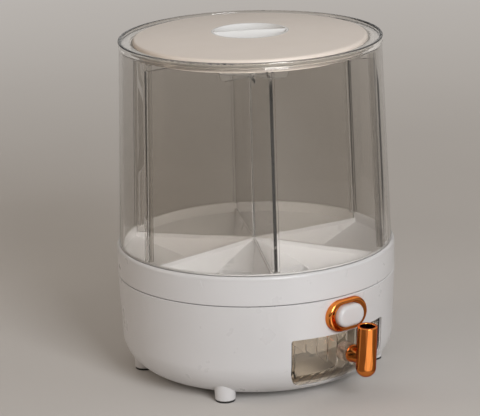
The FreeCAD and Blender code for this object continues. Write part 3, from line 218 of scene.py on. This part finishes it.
def paint_end_shade(material, tint, end_shade, lean, limits):
    """Give faces that look up or down, where all limits hold, a painted shade of their own."""
    tree = material.node_tree
    normal = add_node(tree, "SeparateXYZ", None, {0: add_node(tree, "TexCoord").outputs["Normal"]})
    upright = add_node(tree, "Math", {"operation": "ABSOLUTE"}, {0: normal.outputs["Z"]})
    end = add_node(tree, "Math", {"operation": "GREATER_THAN", 1: lean}, {0: upright.outputs[0]})
    for limit in limits:
        end = add_node(tree, "Math", {"operation": "MULTIPLY"}, {0: end.outputs[0], 1: limit.outputs[0]})
    # Those faces take the dark colour: painted shade for the lines that shade and trapped light draw at the
    # ends.
    tone = add_node(tree, "Mix", {"data_type": "RGBA", 6: linear(tint), 7: linear(end_shade)},
                    {0: end.outputs[0]})
    tree.links.new(tone.outputs[2], tree.nodes["Principled BSDF"].inputs["Base Color"])
    print(material.name, "ends", end_shade)


divider_clear = clear_plastic("smoked_clear_styrene_plate", PLATE_TINT, "#FAF9F8", 0.03)
paint_end_shade(divider_clear, PLATE_TINT, PLATE_END_SHADE, lean=0.6, limits=[])

# %% [markdown]
# The drawer is the same plastic, handled more, so it has a little more haze. Its flutes end in
# small flat steps, which look dark because they bend in light from darker surroundings, and the
# same painted shade as on the plates' ends draws them. The drawer's floor looks up too and must
# stay clear, so the painted shade is kept to the front, above the floor.

# %% Drawer
# The second colour is painted shade for the flutes' ends.
DRAWER_TINT, FLUTE_END_SHADE = "#F4EEE6", "#9A8A76"
FLUTE_REACH = 116.5 * MM    # the flutes stand further from the drum's axis than this
FLUTE_LOW, FLUTE_HIGH = 20 * MM, 60 * MM

drawer_clear = clear_plastic("smoked_clear_styrene_drawer", DRAWER_TINT, "#F9F7F4", 0.05)

# %% Where the flutes end
tree = drawer_clear.node_tree
place = add_node(tree, "TexCoord").outputs["Object"]
flat = add_node(tree, "VectorMath", {"operation": "MULTIPLY", 1: (1, 1, 0)}, {0: place})
reach = add_node(tree, "VectorMath", {"operation": "DISTANCE", 1: axis}, {0: flat.outputs[0]})
height = add_node(tree, "SeparateXYZ", None, {0: place})
paint_end_shade(drawer_clear, DRAWER_TINT, FLUTE_END_SHADE, lean=0.5, limits=[
    add_node(tree, "Math", {"operation": "GREATER_THAN", 1: FLUTE_REACH}, {0: reach.outputs["Value"]}),
    add_node(tree, "Math", {"operation": "GREATER_THAN", 1: FLUTE_LOW}, {0: height.outputs["Z"]}),
    add_node(tree, "Math", {"operation": "LESS_THAN", 1: FLUTE_HIGH}, {0: height.outputs["Z"]}),
])

# %% [markdown]
# The round boss behind the handle is a solid lump of clear plastic. As plain glass it would only
# show the dark inside of the drawer, so some of it is let scatter in a warm peach: a painted
# reflection of the bright copper that shows in the real boss.

# %% Boss behind the handle
boss_painted_glint, tree, output, place = new_material("clear_styrene_painted_copper_glint")
glint_patches = add_node(tree, "TexNoise", {"Scale": 1 / (4 * MM), "Detail": 3.0}, {"Vector": place})
# Patchy warm peach: painted reflection of the copper round and inside the boss.
painted_copper_glint = add_node(tree, "Mix", {"data_type": "RGBA", 6: linear("#E8D2BF"), 7: linear("#D3B9A2")},
                {0: glint_patches.outputs["Fac"]})
blur = add_node(tree, "MapRange", {"To Min": 0.04, "To Max": 0.12}, {"Value": glint_patches.outputs["Fac"]})
shader = add_node(tree, "BsdfPrincipled", {"Transmission Weight": 0.85, "IOR": 1.5},
                  {"Base Color": painted_copper_glint.outputs[2], "Roughness": blur.outputs[0]})
tree.links.new(shader.outputs[0], output.inputs["Surface"])
print("boss:", boss_painted_glint.name)

# %% [markdown]
# ## Copper-coloured plating
# Surround, neck and handle are plated and lacquered in a copper tone. A plated part copies its
# surroundings like a mirror, and the lacquer adds a thin clear skin. Real ones are never quite
# even, so the roughness drifts and a slow swell bends the reflections a little. A dark brown edge
# tint makes this plating browner towards its outline: painted shade for the dark surroundings
# that a polished bar mirrors at its flanks.

# %% Plated metal


def plated_metal(name, colour, shade, edge, gloss_low, gloss_high, lacquer):
    """Polished plating of one colour, with its edge tint, under clear lacquer."""
    material, tree, output, place = new_material(name)
    smear = add_node(tree, "TexNoise", {"Scale": 1 / (9 * MM), "Detail": 4.0}, {"Vector": place})
    swell = add_node(tree, "TexNoise", {"Scale": 1 / (14 * MM), "Detail": 1.0}, {"Vector": place})
    tone = add_node(tree, "Mix", {"data_type": "RGBA", 6: linear(colour), 7: linear(shade)},
                    {0: smear.outputs["Fac"]})
    gloss = add_node(tree, "MapRange", {"To Min": gloss_low, "To Max": gloss_high},
                     {"Value": smear.outputs["Fac"]})
    skin = add_node(tree, "Bump", {"Distance": 0.03 * MM}, {"Height": swell.outputs["Fac"]})
    shader = add_node(tree, "BsdfPrincipled", {
        "Metallic": 1.0, "Specular Tint": linear(edge),
        "Coat Weight": lacquer, "Coat Roughness": 0.06, "Coat IOR": 1.5,
    }, {"Base Color": tone.outputs[2], "Roughness": gloss.outputs[0], "Normal": skin.outputs[0]})
    tree.links.new(shader.outputs[0], output.inputs["Surface"])
    print(name, colour)
    return material


# Its dark brown edge tint is painted shade for the dark surroundings mirrored at the flanks.
copper = plated_metal("copper_plating", "#F29546", "#E07E32", "#9A4C16", 0.04, 0.13, 0.3)
zinc = plated_metal("zinc_plated_steel", "#C0C2C3", "#989B9D", "#FFFFFF", 0.22, 0.5, 0.0)

# %% [markdown]
# ## Rubber, silicone and acetal
# These show only at the feet, round the lid and inside, but each is still made of something.
# Rubber is nearly black with a dusty sheen, silicone is soft and milky, and acetal is waxy.

# %% Soft and waxy plastics


def soft_polymer(name, dark, light, rough_low, rough_high, bump_size, sheen):
    """Rubber, silicone or acetal: tone and dullness drift, and fine pores break up the light."""
    material, tree, output, place = new_material(name)
    cloud = add_node(tree, "TexNoise", {"Scale": 1 / (6 * MM), "Detail": 4.0}, {"Vector": place})
    pores = add_node(tree, "TexNoise", {"Scale": 1 / bump_size, "Detail": 3.0}, {"Vector": place})
    tone = add_node(tree, "Mix", {"data_type": "RGBA", 6: linear(dark), 7: linear(light)},
                    {0: cloud.outputs["Fac"]})
    dull = add_node(tree, "MapRange", {"To Min": rough_low, "To Max": rough_high},
                    {"Value": cloud.outputs["Fac"]})
    skin = add_node(tree, "Bump", {"Distance": 0.08 * MM}, {"Height": pores.outputs["Fac"]})
    shader = add_node(tree, "BsdfPrincipled", {"IOR": 1.45, "Sheen Weight": sheen, "Sheen Roughness": 0.5}, {
        "Base Color": tone.outputs[2], "Roughness": dull.outputs[0], "Normal": skin.outputs[0],
    })
    tree.links.new(shader.outputs[0], output.inputs["Surface"])
    print(name, "from", dark, "to", light)
    return material


rubber = soft_polymer("black_rubber", "#141312", "#2C2A28", 0.5, 0.9, 1.0 * MM, 0.12)
silicone = soft_polymer("milky_silicone", "#88837A", "#9F9A92", 0.4, 0.65, 2.0 * MM, 0.15)
acetal = soft_polymer("natural_acetal", "#E9E7DF", "#D9D7CE", 0.25, 0.47, 3.0 * MM, 0.0)

# %% [markdown]
# ## Dressing the construction
# Each node now takes the material of what it is made of. A table by material slot keeps this
# in one place, because the record already says which slot every node belongs to. The few
# nodes with a finish of their own are listed by name.

# %% Give every node its material
by_slot = {
    "white_abs": white_abs, "lid_abs": lid_abs, "inner_abs": inner_abs, "clear_plastic": drum_clear,
    "drawer_plastic": drawer_clear, "copper_plating": copper, "black_rubber": rubber, "steel": zinc,
    "acetal": acetal, "silicone": silicone,
}
by_node = {"grip_bowl": bowl_abs, "handle_boss": boss_painted_glint}
by_node.update({name: divider_clear for name in nodes if name.startswith("divider_")})
for part in frame["record"]["subparts"]:
    name = part["node"]
    for material_slot in nodes[name].material_slots:
        material_slot.material = by_node.get(name, by_slot[part["material_slot"]])
print("finishes by slot:", len(by_slot), "and by node:", len(by_node))

# %% [markdown]
# ## Return spring
# The spring behind the button is a rigid solid in the construction, but the real one shortens
# as the button goes in. So a copy of it stands in for it, hung on the base, and its length with
# the button pressed in by its full travel is worked out.

# %% Return spring
BUTTON_TRAVEL = 11 * MM
spring = bpy.data.objects.new("return_spring_coil", nodes["return_spring"].data.copy())
bpy.context.scene.collection.objects.link(spring)
bpy.ops.object.select_all(action="DESELECT")
spring.select_set(True)
bpy.context.view_layer.objects.active = spring
bpy.ops.object.mode_set(mode="EDIT")
bpy.ops.mesh.select_all(action="SELECT")
bpy.ops.mesh.remove_doubles(threshold=0.01 * MM)
bpy.ops.mesh.normals_make_consistent(inside=False)
bpy.ops.object.mode_set(mode="OBJECT")
bpy.ops.object.shade_smooth_by_angle(angle=math.radians(40))
spring.data.materials.clear()
spring.data.materials.append(zinc)

coil_low, coil_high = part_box("return_spring")
coil_length = coil_high.y - coil_low.y
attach(spring, "base")
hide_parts("return_spring")
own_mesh(spring)
pressed = coil_length - BUTTON_TRAVEL
print("spring length, mm:", round(coil_length / MM, 2), "pressed:", round(pressed / MM, 2))

# %% [markdown]
# ## Floor
# A pale floor that runs far behind the object gives the clear drum something plain to show.
# Lamps near the object would leave the far floor dark. So with distance it blends, only for
# what the eye, a mirror or a clear wall sees, into one even pale tone. Close by it is a plain
# lit surface, which keeps the object's shadow.

# %% Floor
FLOOR_SIZE = 9.0
FLOOR_NEAR, FLOOR_FAR = 0.35, 2.4
FAR_TONE = "#BBB6B1"
PATCH_SIZE = 0.4
bpy.ops.object.select_all(action="DESELECT")
bpy.ops.mesh.primitive_plane_add(size=FLOOR_SIZE, location=(axis.x, axis.y, 0))
floor = bpy.context.object
floor.name = "floor"
bpy.ops.object.transform_apply(location=True)
print("floor:", FLOOR_SIZE, "m")

# %% Floor's finish
floor_material, tree, output, place = new_material("pale_floor")
patch = add_node(tree, "TexNoise", {"Scale": 1 / PATCH_SIZE}, {"Vector": place})
tone = add_node(tree, "Mix", {"data_type": "RGBA", 6: linear("#DAD7D3"), 7: linear("#D0CDC9")},
                {0: patch.outputs["Fac"]})
lit = add_node(tree, "BsdfPrincipled", {"Roughness": 1.0, "Specular IOR Level": 0.0},
               {"Base Color": tone.outputs[2]})
away = add_node(tree, "VectorMath", {"operation": "DISTANCE", 1: axis}, {0: place})
fade = add_node(tree, "MapRange", {
    "interpolation_type": "SMOOTHSTEP", "From Min": FLOOR_NEAR, "From Max": FLOOR_FAR,
}, {"Value": away.outputs["Value"]})
path = add_node(tree, "LightPath")
seen = add_node(tree, "Math", {"operation": "ADD", "use_clamp": True},
                {0: path.outputs["Is Camera Ray"], 1: path.outputs["Is Glossy Ray"]})
seen = add_node(tree, "Math", {"operation": "ADD", "use_clamp": True},
                {0: seen.outputs[0], 1: path.outputs["Is Transmission Ray"]})
share = add_node(tree, "Math", {"operation": "MULTIPLY"}, {0: seen.outputs[0], 1: fade.outputs[0]})
glow = add_node(tree, "Emission", {"Color": linear(FAR_TONE)})
both = add_node(tree, "MixShader", None, {0: share.outputs[0], 1: lit.outputs[0], 2: glow.outputs[0]})
tree.links.new(both.outputs[0], output.inputs["Surface"])
floor.data.materials.append(floor_material)
print("floor fades from", FLOOR_NEAR, "to", FLOOR_FAR, "m")

# %% [markdown]
# ## Lamps
# One large soft window from the front right models the roundness of the base, a weak warm one
# fills the left, and a wide one behind draws the drum's rim. A softbox is an area lamp: the
# larger it is, the softer its shadows and the gentler its reflections.

# %% Lamps
ANGLE = math.radians(38.3)


def around(degrees_from_camera, distance, height):
    """A point round the drum, counted in degrees from where the camera stands."""
    a = math.radians(-90) - ANGLE + math.radians(degrees_from_camera)
    return Vector((axis.x + distance * math.cos(a), axis.y + distance * math.sin(a), height))


def softbox(name, place, target, width, height, power, colour):
    """Rectangular lamp that faces a target."""
    lamp = bpy.data.lights.new(name, "AREA")
    lamp.shape = "RECTANGLE"
    lamp.size, lamp.size_y = width, height
    lamp.energy = power
    lamp.color = linear(colour)[:3]
    holder = bpy.data.objects.new(name, lamp)
    holder.location = place
    holder.rotation_euler = (target - place).to_track_quat("-Z", "Y").to_euler()
    bpy.context.scene.collection.objects.link(holder)
    print(name, power, "W")
    return holder


middle = axis + Vector((0, 0, 0.16))
softbox("window_light", around(24, 1.9, 0.95), middle, 0.8, 1.0, 27, "#FBFCFF")
softbox("fill_light", around(-80, 1.6, 0.7), middle, 0.4, 1.2, 3, "#FFEAD6")
softbox("back_light", around(170, 1.7, 0.9), middle, 2.4, 1.0, 3, "#FFFCF8")

# %% [markdown]
# An upright polished bar seen from above mirrors the floor just in front of it. A small
# reflector card lying there, out of the picture, gives the handle its bright upright stripe.
# It is for mirrors alone: it lights nothing else and no wall or eye sees it.

# %% Card for the handle's stripe
bar_low, bar_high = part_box("handle_barrel")
bar = (bar_low + bar_high) / 2
CARD_TURN, CARD_AWAY, CARD_HEIGHT = -ANGLE + math.radians(28), 0.20, 0.002
CARD_WIDTH, CARD_LENGTH, CARD_POWER = 0.14, 0.28, 0.085
card_way = Matrix.Rotation(CARD_TURN, 3, "Z") @ Vector((0, -1, 0))
card_place = Vector((bar.x, bar.y, CARD_HEIGHT)) + card_way * CARD_AWAY
overhead = card_place + Vector((0, 0, 1))
card = softbox("floor_card", card_place, overhead, CARD_WIDTH, CARD_LENGTH, CARD_POWER, "#FFFFFF")
card.rotation_euler = (math.pi, 0, CARD_TURN)
card.visible_camera = card.visible_diffuse = card.visible_transmission = False
print("card at", [round(v, 3) for v in card_place])

# %% [markdown]
# Beside it lie two grey flags, as in a studio that photographs polished metal. They are what
# gives the bar its darker flanks. Like the card they are seen by mirrors alone. Each is a
# plane, turned about the bar by its own angle and counted in degrees from the camera's side.

# %% Grey flags for the handle's flanks
FLAG_LENGTH, FLAG_HEIGHT = 0.30, 0.001
flag_cloth, tree, output, place = new_material("grey_flag_cloth")
weave = add_node(tree, "TexNoise", {"Scale": 1 / (2 * MM)}, {"Vector": place})
nap = add_node(tree, "Mix", {"data_type": "RGBA", 6: linear("#A0988F"), 7: linear("#8C847B")},
               {0: weave.outputs["Fac"]})
shader = add_node(tree, "BsdfPrincipled", {"Roughness": 1.0, "Specular IOR Level": 0.0},
                  {"Base Color": nap.outputs[2]})
tree.links.new(shader.outputs[0], output.inputs["Surface"])
for name, degrees, width in (("flag_left", -48, 0.16), ("flag_right", 88, 0.13)):
    turned = -ANGLE + math.radians(degrees)
    way = Matrix.Rotation(turned, 3, "Z") @ Vector((0, -1, 0))
    spot = Vector((bar.x, bar.y, FLAG_HEIGHT)) + way * CARD_AWAY
    bpy.ops.object.select_all(action="DESELECT")
    bpy.ops.mesh.primitive_plane_add(size=1.0, location=spot, rotation=(0, 0, turned))
    flag = bpy.context.object
    flag.name = name
    flag.scale = (width, FLAG_LENGTH, 1.0)
    bpy.ops.object.transform_apply(location=True, rotation=True, scale=True)
    flag.visible_camera = flag.visible_diffuse = False
    flag.visible_transmission = flag.visible_shadow = False
    flag.data.materials.append(flag_cloth)
    print(name, [round(v, 3) for v in spot])

# %% [markdown]
# ## Surroundings
# The rest of the room is one dim, slightly warm grey, as in a kitchen with light walls. It
# lifts the shadows, so that the dark side of the base keeps its shape. Polished parts need
# something to mirror, so for them alone the room is dark low down and light overhead. Past the
# floor's far edge, the eye and a clear wall see the floor's own far tone.

# %% Surroundings
ROOM_STRENGTH = 0.36
LOW_STRENGTH, HIGH_STRENGTH = 0.12, 0.9

world = bpy.data.worlds.new("studio")
bpy.context.scene.world = world
world.use_nodes = True
tree = world.node_tree
tree.nodes.clear()
room = add_node(tree, "Background", {"Color": linear("#E6DCD2"), "Strength": ROOM_STRENGTH})
way = add_node(tree, "SeparateXYZ", None, {0: add_node(tree, "TexCoord").outputs["Generated"]})
climb = add_node(tree, "MapRange", {
    "From Min": 0.05, "From Max": 0.6, "To Min": LOW_STRENGTH, "To Max": HIGH_STRENGTH,
}, {"Value": way.outputs["Z"]})
mirrored = add_node(tree, "Background", {"Color": linear("#F2EFEB")}, {"Strength": climb.outputs[0]})
print("surroundings at strength", ROOM_STRENGTH)

# %% Who sees which surroundings
path = add_node(tree, "LightPath")
both = add_node(tree, "MixShader", None, {
    0: path.outputs["Is Glossy Ray"], 1: room.outputs[0], 2: mirrored.outputs[0],
})
seen = add_node(tree, "Math", {"operation": "ADD", "use_clamp": True},
                {0: path.outputs["Is Camera Ray"], 1: path.outputs["Is Transmission Ray"]})
wall = add_node(tree, "Background", {"Color": linear(FAR_TONE)})
both = add_node(tree, "MixShader", None, {0: seen.outputs[0], 1: both.outputs[0], 2: wall.outputs[0]})
output = add_node(tree, "OutputWorld")
tree.links.new(both.outputs[0], output.inputs["Surface"])
print("surroundings:", len(tree.nodes), "nodes")

# %% [markdown]
# ## Camera
# The photograph was taken from nearly two and a half metres away, from left of the outlet and
# looking down on the lid. These numbers come from fitting the rims of drum, ring and base.

# %% Camera
CAMERA_BACK = 2.4084
CAMERA_SIDE = 0.00646
CAMERA_HEIGHT = 0.8286
YAW, PITCH, ROLL = math.radians(0.501), math.radians(15.459), math.radians(-1.633)
FOCAL_PIXELS = 2512.9
IMAGE_WIDTH = 480

camera = bpy.data.cameras.new("camera")
camera.sensor_fit = "HORIZONTAL"
camera.sensor_width = 36.0
camera.lens = FOCAL_PIXELS * camera.sensor_width / IMAGE_WIDTH
camera.clip_end = 50.0
stand = bpy.data.objects.new("camera", camera)
aim = Matrix.Rotation(YAW, 4, "Z") @ Matrix.Rotation(math.pi / 2 - PITCH, 4, "X")
turn = aim @ Matrix.Rotation(ROLL, 4, "Z")
place = Matrix.Translation((CAMERA_SIDE, -CAMERA_BACK, CAMERA_HEIGHT))
stand.matrix_world = Matrix.Translation(axis) @ Matrix.Rotation(-ANGLE, 4, "Z") @ place @ turn
bpy.context.scene.collection.objects.link(stand)
bpy.context.scene.camera = stand
bpy.context.scene.view_settings.view_transform = "Standard"
print("lens:", round(camera.lens, 1), "mm")
